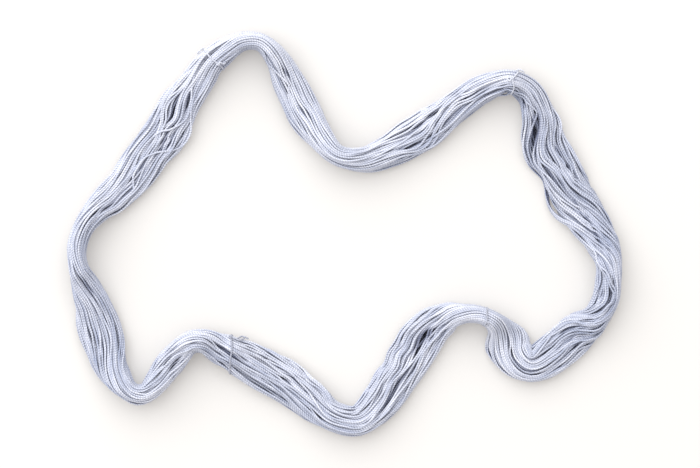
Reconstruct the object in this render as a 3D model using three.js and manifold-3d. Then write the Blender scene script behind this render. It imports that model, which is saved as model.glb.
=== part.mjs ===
// A skein of fingering yarn: a ribbon of yarn turns, taken off its reel, untwisted and laid down as one
// loose, wavy loop. Four short ties of the same yarn keep the turns together. Millimetres, +Z up. The
// origin lies on the surface that the skein rests on, at the middle of its outline, and +X runs along its
// longer side.
//
// The hank is one solid. Its course is read row by row round the loop, anticlockwise seen from above, and
// each row is a section across the hank. The same turns pass through every section, so the ribbon lies low
// where it is wide and stands on edge where a sharp bend makes it narrow.

import * as THREE from 'three';
import { mergeVertices } from 'three/addons/utils/BufferGeometryUtils.js';
import Module from 'manifold-3d';

const wasm = await Module();
wasm.setup();

// Sizes of the hank's section
const YARN_AREA = 450; // mm2 of section that the turns fill
const FULLNESS = 0.82; // share of its own box that a section fills
const MAX_HEIGHT = 31; // a ribbon on edge is pressed together before it stands higher
const SINK = 1.6; // how far the round underside is pressed flat
const ROUNDNESS = 0.88; // 1 is an ellipse, less is a fuller section

// The locks are the strand groups that part and twist round each other
const LOCKS = 9;
const POINTS_PER_LOCK = 4;
const LOCK_GROOVE = 0.16; // depth of the groove between two locks, as a share of the section's half size
const FOLD_FADE = 0.45; // folds lie on the top, and fade out down the sides from this sine of the angle
const STATION_STEP = 10.4; // length of hank between two modelled sections

// How finely the course is followed
const STEPS_PER_ROW = 40;
const TANGENT_STEP = 0.01; // of a row

// Sizes of the ties
const TIE_THICKNESS = 1.6;
const TIE_SIDES = 6;
const TURN_POINTS = 24;
const TAIL_STEPS = 2; // straight steps between two places of a tail
const CLEARANCE = 0.3; // between two pieces that touch
const ROUND_ALLOWANCE = 0.25; // a tie's straight steps run a little closer than its points
const KNOT_RADIUS = 1.5;
const SEAT_HALF = 1.6; // half the length of hank that a tie straight across it sits on
const PINCH_REACH = 7.5; // how far from its seat a tie draws the hank in
const PINCH = 0.07; // share of its width that a tie takes

// Matt plied wool, and the same wool a little darker
const HANK_COLOUR = '#c0c4d4';
const TIE_COLOUR = '#b4b9cc';
const ROUGHNESS = 0.85;

// One row a section: its middle, its width, and how far the ribbon has rolled about its own length, in
// degrees
const COURSE_COLUMNS = ['x', 'y', 'width', 'roll'];
const COURSE = table(COURSE_COLUMNS, [
  // upper left tie, and down the left side
  [-112, 141, 23, 0],
  [-125, 123, 26, -7],
  [-138, 105, 32, -22],
  [-148, 84, 38, -26],
  [-163, 67, 34, -30],
  [-177, 48, 33, -41],
  [-192, 31, 28, -46],
  [-205, 20, 21, -44],
  [-217, 5, 16, -42],
  [-223, -12, 15, -46],
  [-222, -29, 15, -62],
  [-217, -43, 22, -85],
  [-211, -59, 29, -105],
  [-207, -75, 35, -113],
  [-201, -95, 33, -108],
  [-193, -116, 25, -82],
  [-180, -132, 15, -55],
  [-167, -134, 15, -38],
  [-157, -125, 18, -18],
  // along the lower edge
  [-145, -108, 22, -8],
  [-131, -93, 17, 5],
  [-118, -91, 18, 22],
  [-105, -97, 25, 44],
  [-93, -102, 28, 54],
  [-66, -116, 34, 66],
  [-45, -128, 34, 72],
  [-28, -141, 31, 78],
  [-14, -152, 24, 84],
  [0, -157, 23, 85],
  [14, -156, 24, 84],
  [29, -142, 29, 82],
  [42, -123, 33, 78],
  [66, -85, 35, 75],
  [84, -71, 25, 67],
  [97, -68, 17, 50],
  [108, -68, 15, 36],
  [118, -71, 16, 28],
  [127, -78, 20, 26],
  [134, -90, 36, 38],
  [141, -103, 34, 58],
  [155, -110, 29, 74],
  [173, -101, 33, 72],
  // round the right end, and back along the upper edge
  [191, -85, 32, 78],
  [208, -71, 22, 140],
  [217, -54, 20, 172],
  [219, -28, 20, 153],
  [212, -6, 28, 106],
  [200, 14, 33, 80],
  [187, 33, 36, 51],
  [178, 53, 35, 32],
  [167, 73, 36, 42],
  [161, 95, 28, 65],
  [154, 114, 22, 66],
  [143, 123, 20, 56],
  [131, 125, 19, 48],
  [111, 117, 23, 49],
  [92, 104, 24, 46],
  [74, 90, 31, 33],
  [55, 78, 31, 31],
  [35, 67, 24, 36],
  [14, 60, 20, 28],
  [-8, 65, 16, 12],
  [-24, 83, 23, 9],
  [-35, 102, 28, 14],
  [-46, 122, 27, 18],
  [-56, 143, 20, 19],
  [-69, 157, 15, 21],
  [-83, 159, 15, 14],
  [-95, 154, 18, 7],
]);

// Locks that lie across the others, and grooves where two of them part. Each runs from one row to another
// and from one place across the hank to another, where -1 is its outer edge and 1 its inner edge. Rise is
// in mm and a groove's is below zero; spread is half its width in mm.
const FOLD_COLUMNS = ['fromRow', 'toRow', 'from', 'to', 'rise', 'spread'];
const FOLDS = table(FOLD_COLUMNS, [
  // upper left: a lock leaves the outer edge and lies over to the inner one, past an open eye
  [1.6, 4.6, -0.85, 0.15, 3.2, 3.4],
  [0.8, 2.8, 0.1, 0.35, -3.4, 2.2],
  [2.3, 3.7, 0.1, 0.3, -4.5, 3.2],
  [3.9, 5.8, 0.1, 0.45, -3.6, 2.2],
  // left side: the ribbon fans out below the bend
  [10.2, 13.2, -0.3, 0.4, -2.2, 2.2],
  [11.5, 14.5, -0.6, 0.1, 1.2, 3],
  // lower left limb and the arch after it
  [17.5, 20, 0.1, -0.35, -2.6, 2.2],
  [21.5, 25.5, -0.45, -0.4, -2.2, 2.2],
  // lower edge: long, nearly straight grooves
  [23.2, 27.2, 0.35, 0.1, -2.2, 2.2],
  [24.5, 28.5, -0.25, -0.35, -2.4, 2.2],
  [29.2, 32, -0.45, -0.5, -2.8, 2.2],
  [31.6, 33, 0.05, 0, -5, 2.4],
  [31.2, 33.4, 0.45, 0.35, 1.6, 3],
  // lower right: two lobes stand out on the inner side of the bend
  [36.8, 39.6, -0.7, -0.85, -2.2, 2.2],
  [37.6, 40.6, 0.1, -0.25, -2.4, 2.2],
  [39.6, 41.6, -0.4, -0.45, -3, 2.2],
  [40.8, 42.8, 0.4, -0.1, -2.4, 2.2],
  // right end: the main group narrows and rides over an inner one
  [43.2, 46.2, -0.5, -0.4, 3.4, 3.6],
  [43.6, 45.8, 0.35, 0.3, -4, 2.2],
  [46.3, 49.3, -0.5, 0.45, -2.2, 2.2],
  // right side: an inner lock swells out beside a dark opening
  [48, 49.6, -0.55, -0.2, -3, 2.2],
  [49.8, 52.4, 0.15, 0.2, -4.5, 2.4],
  [49.6, 52.2, 0.65, 0.6, 2.2, 3],
  // upper edge
  [56.2, 58.6, 0, -0.1, -4, 2.4],
  [57, 60, 0.4, 0.2, -2.4, 2.2],
  [59.6, 62.4, -0.3, 0, -2, 2.2],
  [61.8, 64.8, 0.1, -0.1, -2.6, 2.2],
  [63.2, 66, -0.2, 0.2, -2.4, 2.2],
]);

// The ties. Each turn lies across the hank, with its inner side further along by its slant. Its knot sits
// at an angle round the hank, from 0 at the inner edge over the top at 90 to 180 at the outer edge. Each
// tail is a short list of places: how far along the hank from the tie, the angle round it, and how far off
// it.
const TAIL_COLUMNS = ['along', 'angle', 'off'];
const TIES = [
  {
    name: 'tie_upper_left',
    row: 0,
    slant: 0,
    knot: 52,
    tails: [
      table(TAIL_COLUMNS, [[0, 52, 1.8], [-4, 47, 1.9], [-9, 43, 2.4]]),
      table(TAIL_COLUMNS, [[0, 52, 1.8], [-3, 36, 2.2], [-6, 24, 2]]),
      table(TAIL_COLUMNS, [[0, 128, 1.3], [0.5, 150, 3], [3.5, 162, 3.8], [6.5, 168, 2.2]]),
    ],
  },
  {
    name: 'tie_lower_left',
    row: 22.9,
    slant: -5,
    knot: 26,
    tails: [
      table(TAIL_COLUMNS, [[-4.5, 26, 1.8], [0.5, 22, 2], [5.5, 24, 2.2], [10, 30, 2]]),
      table(TAIL_COLUMNS, [[-4.5, 26, 1.8], [-1.5, 36, 2], [1.5, 38, 1.8]]),
    ],
  },
  {
    name: 'tie_lower_right',
    row: 36,
    slant: -1.5,
    knot: 150,
    tails: [
      table(TAIL_COLUMNS, [[0, 150, 1.8], [-2, 166, 2.2], [-4.5, 176, 2.6]]),
      table(TAIL_COLUMNS, [[0, 150, 1.8], [2.5, 138, 2], [5, 132, 1.8]]),
    ],
  },
  {
    name: 'tie_upper_right',
    row: 53.4,
    slant: 0,
    knot: 128,
    tails: [
      table(TAIL_COLUMNS, [[0, 128, 1.8], [-3, 134, 2.6], [-6.5, 138, 3]]),
      table(TAIL_COLUMNS, [[0, 128, 1.8], [2.5, 120, 2], [4, 100, 1.9], [3.5, 75, 1.9]]),
    ],
  },
];

function table(columns, rows) {
  return rows.map((row) => Object.fromEntries(columns.map((column, i) => [column, row[i]])));
}

// A column of the course at any place between its rows, as a smooth closed curve through them
function course(column, place) {
  const n = COURSE.length;
  const row = Math.floor(place);
  const f = place - row;
  const [a, b, c, d] = [-1, 0, 1, 2].map((step) => COURSE[(row + step + n) % n][column]);
  const slopeIn = (c - a) / 2;
  const slopeOut = (d - b) / 2;
  const bend = 2 * (b - c) + slopeIn + slopeOut;
  return b + f * (slopeIn + f * (3 * (c - b) - 2 * slopeIn - slopeOut + f * bend));
}

// The middle of the hank, the way along it, and the way across it to the inside of the loop
function frameAt(place) {
  const next = place + TANGENT_STEP;
  const middle = new THREE.Vector3(course('x', place), course('y', place), 0);
  const along = new THREE.Vector3(course('x', next), course('y', next), 0).sub(middle).normalize();
  const across = new THREE.Vector3(-along.y, along.x, 0);
  return { middle, across };
}

// Distances along the hank's middle line, in mm, against places in the course
const MEASURED = measureCourse();

function measureCourse() {
  const measured = [{ place: 0, distance: 0 }];
  let last = frameAt(0).middle;
  let distance = 0;
  for (let i = 1; i <= COURSE.length * STEPS_PER_ROW; i += 1) {
    const place = i / STEPS_PER_ROW;
    const next = frameAt(place % COURSE.length).middle;
    distance += next.distanceTo(last);
    measured.push({ place, distance });
    last = next;
  }
  return measured;
}

function lookUp(from, to, value) {
  const i = Math.max(1, MEASURED.findIndex((entry) => entry[from] >= value));
  const low = MEASURED[i - 1];
  const high = MEASURED[i];
  return THREE.MathUtils.mapLinear(value, low[from], high[from], low[to], high[to]);
}

const LENGTH = MEASURED[MEASURED.length - 1].distance;
const wrap = (distance) => THREE.MathUtils.euclideanModulo(distance, LENGTH);
const placeAt = (distance) => lookUp('distance', 'place', wrap(distance));
const distanceTo = (place) => lookUp('place', 'distance', place);
const seatHalf = (tie) => SEAT_HALF + Math.abs(tie.slant);

// The shorter way round the loop between two distances along it
function apart(a, b) {
  const gap = Math.abs(wrap(a) - wrap(b));
  return Math.min(gap, LENGTH - gap);
}

// How strongly the nearest tie draws the hank in, from 0 to 1
function pinchAt(distance) {
  const pulls = TIES.map((tie) => {
    const seat = seatHalf(tie);
    return 1 - THREE.MathUtils.smoothstep(apart(distance, distanceTo(tie.row)), seat, seat + PINCH_REACH);
  });
  return Math.max(...pulls);
}

// The size of the section at a place, before its locks are cut into it
function sectionAt(distance) {
  const place = placeAt(distance);
  const pinch = pinchAt(distance);
  const width = course('width', place) * (1 - PINCH * pinch);
  const height = Math.min(MAX_HEIGHT, YARN_AREA / (FULLNESS * width));
  const lift = pinch * (TIE_THICKNESS + CLEARANCE);
  const middleUp = height / 2 - SINK + lift;
  const roll = THREE.MathUtils.degToRad(course('roll', place));
  return { place, pinch, width, height, lift, middleUp, roll };
}

// The rise of the folds at a section and a distance across it
function foldRise(section, across) {
  let rise = 0;
  for (const fold of FOLDS) {
    const f = (section.place - fold.fromRow) / (fold.toRow - fold.fromRow);
    if (f > 0 && f < 1) {
      const middle = THREE.MathUtils.lerp(fold.from, fold.to, f) * section.width / 2;
      const swell = Math.sin(Math.PI * f);
      rise += fold.rise * swell * Math.exp(-(((across - middle) / fold.spread) ** 2));
    }
  }
  return rise * (1 - section.pinch);
}

const softPower = (value) => Math.sign(value) * Math.abs(value) ** ROUNDNESS;

// A point of the plain section: across the hank and up, grown all round by a distance
function roundPoint(section, angle, grown) {
  return {
    across: (section.width / 2 + grown) * softPower(Math.cos(angle)),
    up: section.middleUp + (section.height / 2 + grown) * softPower(Math.sin(angle)),
  };
}

// A point of the hank's own surface. Points keep to the locks, so that the grooves between them turn with
// the ribbon's roll.
function hankPoint(section, angle) {
  const groove = 1 - Math.abs(Math.sin((LOCKS / 2) * (angle - section.roll)));
  const share = 1 - LOCK_GROOVE * groove * (1 - section.pinch);
  const edge = roundPoint(section, angle, 0);
  const across = edge.across * share;
  const topness = THREE.MathUtils.smoothstep(Math.sin(angle), 0, FOLD_FADE);
  const plainUp = THREE.MathUtils.lerp(section.middleUp, edge.up, share);
  const up = plainUp + topness * foldRise(section, across);
  return { across, up: Math.max(up, section.lift) };
}

function inSpace({ middle, across }, point) {
  return middle.clone().addScaledVector(across, point.across).setZ(point.up);
}

function hankRing(distance) {
  const section = sectionAt(distance);
  const frame = frameAt(section.place);
  const count = LOCKS * POINTS_PER_LOCK;
  return Array.from({ length: count }, (_, i) => {
    const angle = section.roll + (2 * Math.PI * i) / count;
    return inSpace(frame, hankPoint(section, angle));
  });
}

// Even steps round the loop, with closer ones where a tie sits
function stations() {
  const atTies = TIES.flatMap((tie) => {
    const steps = [0, PINCH_REACH / 2, PINCH_REACH].map((step) => seatHalf(tie) + step);
    return steps.flatMap((step) => [-step, step].map((side) => wrap(distanceTo(tie.row) + side)));
  });
  const count = Math.round(LENGTH / STATION_STEP);
  const even = Array.from({ length: count }, (_, i) => (i * LENGTH) / count);
  const between = even.filter((distance) => {
    const clear = atTies.every((other) => apart(distance, other) > STATION_STEP / 2);
    return clear && pinchAt(distance) === 0;
  });
  return between.concat(atTies).sort((a, b) => a - b);
}

// Skins a row of rings, each with the same number of points, into a closed body. A closed row joins its last
// ring to its first, and an open one gets a flat fan at each end.
function skin(rings, closed) {
  const sides = rings[0].length;
  const points = rings.flat();
  const faces = [];
  const last = closed ? rings.length : rings.length - 1;
  for (let i = 0; i < last; i += 1) {
    for (let k = 0; k < sides; k += 1) {
      const a = i * sides + k;
      const b = i * sides + ((k + 1) % sides);
      const c = ((i + 1) % rings.length) * sides + ((k + 1) % sides);
      const d = ((i + 1) % rings.length) * sides + k;
      faces.push(a, b, c, a, c, d);
    }
  }
  if (!closed) {
    const end = (rings.length - 1) * sides;
    for (let k = 1; k < sides - 1; k += 1) {
      faces.push(0, k + 1, k);
      faces.push(end, end + k, end + k + 1);
    }
  }
  return faceted(points.flatMap((point) => point.toArray()), faces);
}

function faceted(positions, faces) {
  const geometry = new THREE.BufferGeometry();
  geometry.setAttribute('position', new THREE.Float32BufferAttribute(positions, 3));
  geometry.setIndex(faces);
  return geometry;
}

// A tube of yarn through some points. Its rings are carried along without turning about its length.
function tube(points, radius, closed) {
  const count = points.length;
  const last = count - 1;
  const at = (i) => (closed ? points[(i + count) % count] : points[THREE.MathUtils.clamp(i, 0, last)]);
  const side = new THREE.Vector3(1, 0, 0);
  const rings = points.map((point, i) => {
    const ahead = at(i + 1).clone().sub(at(i - 1)).normalize();
    side.addScaledVector(ahead, -side.dot(ahead)).normalize();
    const other = ahead.clone().cross(side);
    return Array.from({ length: TIE_SIDES }, (_, k) => {
      const turn = (2 * Math.PI * k) / TIE_SIDES;
      const rim = point.clone().addScaledVector(side, radius * Math.cos(turn));
      return rim.addScaledVector(other, radius * Math.sin(turn));
    });
  });
  return skin(rings, closed);
}

function solid(geometry) {
  const bare = mergeVertices(geometry.deleteAttribute('normal').deleteAttribute('uv'));
  const vertProperties = new Float32Array(bare.attributes.position.array);
  const triVerts = new Uint32Array(bare.index.array);
  return new wasm.Manifold(new wasm.Mesh({ numProp: 3, vertProperties, triVerts }));
}

function joined(geometries) {
  const [first, ...rest] = geometries.map(solid);
  const mesh = rest.reduce((whole, piece) => whole.add(piece), first).getMesh();
  return faceted(mesh.vertProperties, Array.from(mesh.triVerts));
}

// A point beside the hank, at an angle round it and some way off its surface, never below the floor
function besideHank(distance, angle, off) {
  const section = sectionAt(distance);
  const point = roundPoint(section, THREE.MathUtils.degToRad(angle), off);
  point.up = Math.max(point.up, TIE_THICKNESS / 2);
  return inSpace(frameAt(section.place), point);
}

function tieGeometry(tie) {
  const radius = TIE_THICKNESS / 2;
  const snug = CLEARANCE + ROUND_ALLOWANCE;
  const onTurn = (angle, off) => {
    const skew = tie.slant * Math.cos(THREE.MathUtils.degToRad(angle));
    return besideHank(distanceTo(tie.row) + skew, angle, off);
  };
  const angles = Array.from({ length: TURN_POINTS }, (_, i) => (360 * i) / TURN_POINTS);
  const turn = tube(angles.map((angle) => onTurn(angle, snug + radius)), radius, true);
  const knot = new THREE.IcosahedronGeometry(KNOT_RADIUS, 1);
  knot.translate(...onTurn(tie.knot, snug + KNOT_RADIUS).toArray());
  const tails = tie.tails.map((tail) => {
    const places = tail.map(({ along, angle, off }) => besideHank(distanceTo(tie.row) + along, angle, off));
    const smooth = new THREE.CatmullRomCurve3(places).getPoints(places.length * TAIL_STEPS);
    return tube(smooth, radius, false);
  });
  return joined([turn, knot, ...tails]);
}

function yarn(name, geometry, colour) {
  const material = new THREE.MeshStandardMaterial({ color: colour, roughness: ROUGHNESS, metalness: 0 });
  const mesh = new THREE.Mesh(geometry, material);
  mesh.name = name;
  return mesh;
}

const skein = new THREE.Group();
skein.add(yarn('hank', skin(stations().map(hankRing), true), HANK_COLOUR));
for (const tie of TIES) {
  skein.add(yarn(tie.name, tieGeometry(tie), TIE_COLOUR));
}

export default skein;
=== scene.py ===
# %% [markdown]
# # A skein of fingering yarn
# Fingering yarn is a thin plied wool. It is wound on a reel into a ring of turns, tied in four places so
# that they keep together, taken off and dropped on a table. The ring lands as a loose, wavy ribbon. Where
# the ribbon is wide it lies low, and where a sharp bend makes it narrow it stands on edge.
#
# A full skein has nearly three hundred turns. The 122 that are modelled here are a little thicker, and fill
# the same ribbon. Curves or hair could draw them too, but strands that push each other aside are easier to
# work out with arrays, so only the finished meshes are handed to Blender.

import bpy
import numpy as np
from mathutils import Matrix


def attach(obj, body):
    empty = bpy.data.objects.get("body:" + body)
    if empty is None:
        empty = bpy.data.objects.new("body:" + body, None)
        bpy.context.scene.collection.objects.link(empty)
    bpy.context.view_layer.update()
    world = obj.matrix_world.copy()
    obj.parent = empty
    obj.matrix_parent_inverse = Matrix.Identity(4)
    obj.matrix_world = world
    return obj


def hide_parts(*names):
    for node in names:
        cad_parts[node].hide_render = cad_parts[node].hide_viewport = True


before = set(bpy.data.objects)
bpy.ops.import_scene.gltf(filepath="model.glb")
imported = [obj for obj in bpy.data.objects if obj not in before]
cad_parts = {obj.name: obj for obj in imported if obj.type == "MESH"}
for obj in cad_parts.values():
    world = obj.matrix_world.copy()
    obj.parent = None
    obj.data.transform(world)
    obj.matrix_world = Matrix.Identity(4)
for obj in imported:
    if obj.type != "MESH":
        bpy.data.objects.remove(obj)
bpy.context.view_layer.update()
MM = 0.001  # lengths are in mm, unless a comment says m, and finished meshes are scaled to metres
SEED = 7
rng = np.random.default_rng(SEED)
print("the frame's nodes:", sorted(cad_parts))

# %% [markdown]
# ## The course of the ribbon
# One row a section, anticlockwise seen from above: the middle of the ribbon, its width, and how far the
# ribbon has rolled about its own length. A smooth closed curve runs through the rows. A curve drawn by hand
# would do as well, but every strand is worked out from this one, so its numbers are kept in a table.

# %% The course
COURSE_COLUMNS = ("x", "y", "width", "roll")
COURSE_ROWS = (
    # upper left tie, and down the left side
    (-112, 141, 23, 0), (-125, 123, 26, -7), (-138, 105, 32, -22), (-148, 84, 38, -26),
    (-163, 67, 34, -30), (-177, 48, 33, -41), (-192, 31, 28, -46), (-205, 20, 21, -44),
    (-217, 5, 16, -42), (-223, -12, 15, -46), (-222, -29, 15, -62), (-217, -43, 22, -85),
    (-211, -59, 29, -105), (-207, -75, 35, -113), (-201, -95, 33, -108), (-193, -116, 25, -82),
    (-180, -132, 15, -55), (-167, -134, 15, -38), (-157, -125, 18, -18),
    # along the lower edge
    (-145, -108, 22, -8), (-131, -93, 17, 5), (-118, -91, 18, 22), (-105, -97, 25, 44),
    (-93, -102, 28, 54), (-66, -116, 34, 66), (-45, -128, 34, 72), (-28, -141, 31, 78),
    (-14, -152, 24, 84), (0, -157, 23, 85), (14, -156, 24, 84), (29, -142, 29, 82),
    (42, -123, 33, 78), (66, -85, 35, 75), (84, -71, 25, 67), (97, -68, 17, 50),
    (108, -68, 15, 36), (118, -71, 16, 28), (127, -78, 20, 26), (134, -90, 36, 38),
    (141, -103, 34, 58), (155, -110, 29, 74), (173, -101, 33, 72),
    # round the right end, and back along the upper edge
    (191, -85, 32, 78), (208, -71, 22, 140), (217, -54, 20, 172), (219, -28, 20, 153),
    (212, -6, 28, 106), (200, 14, 33, 80), (187, 33, 36, 51), (178, 53, 35, 32),
    (167, 73, 36, 42), (161, 95, 28, 65), (154, 114, 22, 66), (143, 123, 20, 56),
    (131, 125, 19, 48), (111, 117, 23, 49), (92, 104, 24, 46), (74, 90, 31, 33),
    (55, 78, 31, 31), (35, 67, 24, 36), (14, 60, 20, 28), (-8, 65, 16, 12),
    (-24, 83, 23, 9), (-35, 102, 28, 14), (-46, 122, 27, 18), (-56, 143, 20, 19),
    (-69, 157, 15, 21), (-83, 159, 15, 14), (-95, 154, 18, 7),
)
COURSE = dict(zip(COURSE_COLUMNS, np.array(COURSE_ROWS, float).T))
ROWS = len(COURSE_ROWS)
STEPS_PER_ROW = 40  # of the fine line that the loop's length is measured on
STATION_STEP = 3.5  # mm between two modelled points of a turn


def course(column, place):
    values = COURSE[column]
    row = np.floor(place).astype(int)
    part = place - row
    a, b, c, d = (values[(row + step) % ROWS] for step in (-1, 0, 1, 2))
    slope_in = (c - a) / 2
    slope_out = (d - b) / 2
    bend = 2 * (b - c) + slope_in + slope_out
    return b + part * (slope_in + part * (3 * (c - b) - 2 * slope_in - slope_out + part * bend))


def gaps_between(points):
    return np.linalg.norm(np.diff(points, axis=0), axis=1)


fine_place = np.arange(ROWS * STEPS_PER_ROW + 1) / STEPS_PER_ROW
fine_line = np.stack([course("x", fine_place), course("y", fine_place)], 1)
fine_distance = np.concatenate([[0.0], np.cumsum(gaps_between(fine_line))])
LENGTH = fine_distance[-1]
STATIONS = round(LENGTH / STATION_STEP)
distance = np.arange(STATIONS) * LENGTH / STATIONS
place = np.interp(distance, fine_distance, fine_place)
middle = np.stack([course("x", place), course("y", place)], 1)
forward = np.roll(middle, -1, 0) - np.roll(middle, 1, 0)
forward /= np.linalg.norm(forward, axis=1)[:, None]
inward = np.stack([-forward[:, 1], forward[:, 0]], 1)
print("the loop is", round(LENGTH), "mm round, in", STATIONS, "stations")

# %% [markdown]
# ## The section
# The same turns pass through every section, so its area stays the same and its height follows from its
# width. That leaves one size less to guess, since the photo shows no heights. The ties draw the ribbon in a
# little and lift it by their own thickness.

# %% Sections
YARN_AREA = 450.0  # mm2 of section that the turns fill
FULLNESS = 0.82  # share of its own box that a section fills
MAX_HEIGHT = 31.0  # a ribbon on edge is pressed together before it stands higher
SINK = 1.6  # how far the round underside is pressed flat
ROUNDNESS = 0.88  # 1 is an ellipse, less is a fuller section
TIE_ROWS = {"upper_left": 0, "lower_left": 22.9, "lower_right": 36, "upper_right": 53.4}
TIE_LIFT = 1.6  # how far a tie's turn lifts the ribbon that lies on it
TIE_SEAT = 2  # half the length of ribbon that a tie sits on
PINCH = 0.07  # share of its width that a tie takes
PINCH_REACH = 9.0  # how far from its seat a tie draws the ribbon in


def smoothstep(x, low, high):
    t = np.clip((x - low) / (high - low), 0, 1)
    return t * t * (3 - 2 * t)


def apart(a, b):
    gap = np.abs(a - b) % LENGTH
    return np.minimum(gap, LENGTH - gap)


def distance_to(row):
    return np.interp(row, fine_place, fine_distance)


pinch = np.max([1 - smoothstep(apart(distance, distance_to(row)), TIE_SEAT, TIE_SEAT + PINCH_REACH)
                for row in TIE_ROWS.values()], axis=0)
width = course("width", place) * (1 - PINCH * pinch)
height = np.minimum(MAX_HEIGHT, YARN_AREA / (FULLNESS * width))
lift = pinch * TIE_LIFT
mid_up = height / 2 - SINK + lift
print("width", width.min().round(1), "to", width.max().round(1), "mm, height",
      height.min().round(1), "to", height.max().round(1), "mm")

# %% [markdown]
# ## The turns
# The turns lie in four rings, one inside the other, evenly spaced round each. A yarn's turn ends where its
# next turn begins, a place or two further on, so each yarn is one long closed line. The ribbon's roll
# carries the turns over from one edge to the other, which is why they run slantwise across the wide
# stretches.

# %% Rings of turns
YARN_DIAMETER = 1.75
RING_COLUMNS = ("turns", "yarns", "inset", "sides")  # the inset is mm in from the outline
RING_ROWS = ((38, 2, 0.9, 8), (34, 2, 2.5, 8), (28, 1, 4.1, 6), (22, 1, 5.7, 6))
RINGS = [dict(zip(RING_COLUMNS, row)) for row in RING_ROWS]
OUTLINE_POINTS = 120
# How far the turns leave their even places. Sway and bunching are shares of the way round the ring, slips
# are in gaps between two turns, and bulges are in mm.
SWAY = 0.009
BUNCHING = 0.006
SLIP = 0.8
SHORT_SLIP = 0.3
LOCK_BULGE = 0.6
BULGE = 0.5
# A soft field is a sum of waves: how many, and how often each rises round the ring and round the loop
SWAY_FIELD = {"modes": 14, "ring_waves": (1, 3), "loop_waves": (6, 24)}
BUNCHING_FIELD = {"modes": 18, "ring_waves": (4, 9), "loop_waves": (3, 16)}
BULGE_FIELD = {"modes": 18, "ring_waves": (3, 10), "loop_waves": (4, 20)}
# Stations over which a noise along the yarn is smoothed
SLIP_SPREAD = 30
SHORT_SLIP_SPREAD = 12
BULGE_SPREAD = 18
# How loosely the turns lie, from tight and even to slack
LOOSE_COLUMNS = ("row", "looseness")
LOOSE_ROWS = (
    (0, 0.7), (3, 1.0), (6, 0.8), (10, 0.5), (16, 0.5), (20, 1.0), (24, 1.0), (27, 0.7), (30, 1.2),
    (31.5, 1.1), (33, 0.2), (39, 0.2), (42, 1.1), (45, 0.9), (48, 1.0), (51, 1.0), (54, 0.6), (57, 1.1),
    (60, 0.6), (63, 0.4), (65, 0.25), (68, 0.3),
)
LOOSE = dict(zip(LOOSE_COLUMNS, np.array(LOOSE_ROWS).T))
looseness = np.interp(place, LOOSE["row"], LOOSE["looseness"], period=ROWS)


def soft_power(value):
    return np.sign(value) * np.abs(value) ** ROUNDNESS


def outline(inset):
    angle = np.linspace(0, 2 * np.pi, OUTLINE_POINTS + 1)
    half_width = (width / 2 - inset)[:, None]
    half_height = (height / 2 - inset)[:, None]
    across = half_width * soft_power(np.cos(angle))
    up = half_height * soft_power(np.sin(angle))
    points = np.stack([across, up], 2)
    steps = np.linalg.norm(np.diff(points, axis=1), axis=2)
    way = np.concatenate([np.zeros((STATIONS, 1)), np.cumsum(steps, axis=1)], 1)
    return points, way


outer_way = outline(0)[1][:, -1]
roll = np.radians(course("roll", place))
roll_step = np.diff(np.concatenate([roll, roll[:1]]))
turned = np.concatenate([[0.0], np.cumsum(roll_step * width / 2 / outer_way)])


def smooth_noise(count, spread):
    waves = np.fft.rfftfreq(count)
    field = np.fft.irfft(np.fft.rfft(rng.normal(size=count)) * np.exp(-((waves * spread) ** 2)), count)
    return field / field.std()


def soft_field(share, modes, ring_waves, loop_waves):
    loop = np.broadcast_to(distance / LENGTH, share.shape)
    field = np.zeros(share.shape)
    for _ in range(modes):
        around = rng.integers(ring_waves[0], ring_waves[1] + 1)
        along = rng.integers(loop_waves[0], loop_waves[1] + 1) * rng.choice((-1, 1))
        field += np.cos(2 * np.pi * (around * share + along * loop + rng.random()))
    return field / field.std()


def noise_by_turn(turns, yarns, spread):
    count = turns // yarns * STATIONS
    return np.concatenate([smooth_noise(count, spread) for _ in range(yarns)]).reshape(turns, STATIONS)


def ring_of_turns(ring):
    turns, yarns = ring["turns"], ring["yarns"]
    points, way = outline(ring["inset"])
    first = np.concatenate([np.arange(yarn, turns, yarns) for yarn in range(yarns)])
    base = (first[:, None] + yarns * distance / LENGTH) / turns
    closing = turned[-1] * distance / LENGTH  # so that the ring meets itself again after one loop
    slip = (SWAY * soft_field(base, **SWAY_FIELD) + BUNCHING * soft_field(base, **BUNCHING_FIELD)
            + (SLIP * noise_by_turn(turns, yarns, SLIP_SPREAD)
               + SHORT_SLIP * noise_by_turn(turns, yarns, SHORT_SLIP_SPREAD)) / turns)
    slip *= looseness
    share = (base + turned[:-1] - closing + slip) % 1.0
    placed = np.empty((turns, STATIONS, 2))
    for s in range(STATIONS):
        for axis in (0, 1):
            placed[:, s, axis] = np.interp(share[:, s] * way[s, -1], way[s], points[s, :, axis])
    bulge = (LOCK_BULGE * soft_field(base, **BULGE_FIELD)
             + BULGE * noise_by_turn(turns, yarns, BULGE_SPREAD))
    outward = placed / np.linalg.norm(placed, axis=2, keepdims=True).clip(1e-6)
    return placed + outward * (bulge * looseness)[..., None]


turns = np.concatenate([ring_of_turns(ring) for ring in RINGS])
turns[..., 1] += mid_up
yarn_turns = [ring["turns"] // ring["yarns"] for ring in RINGS for _ in range(ring["yarns"])]
yarn_sides = [ring["sides"] for ring in RINGS for _ in range(ring["yarns"])]
owners = np.repeat(np.arange(len(yarn_turns)), yarn_turns)
outer_turns = RINGS[0]["turns"]
print(len(turns), "turns in", len(yarn_turns), "yarns")

# %% [markdown]
# ## Locks, openings and loose strands
# What makes a hank look real is what departs from the even rings: dark openings where locks part, locks
# and single strands that ride over the others, and slack. Noise alone would give the right kind of disorder
# in the wrong places, so each is a row in a short table. Rows are places along the course, and a place
# across goes from -1 at the outer edge to 1 at the inner one.
#
# A lock is a group of neighbouring strands that ride over the others together. The strands nearest its line
# are led along it, so no strand is added, and none ends.

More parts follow.
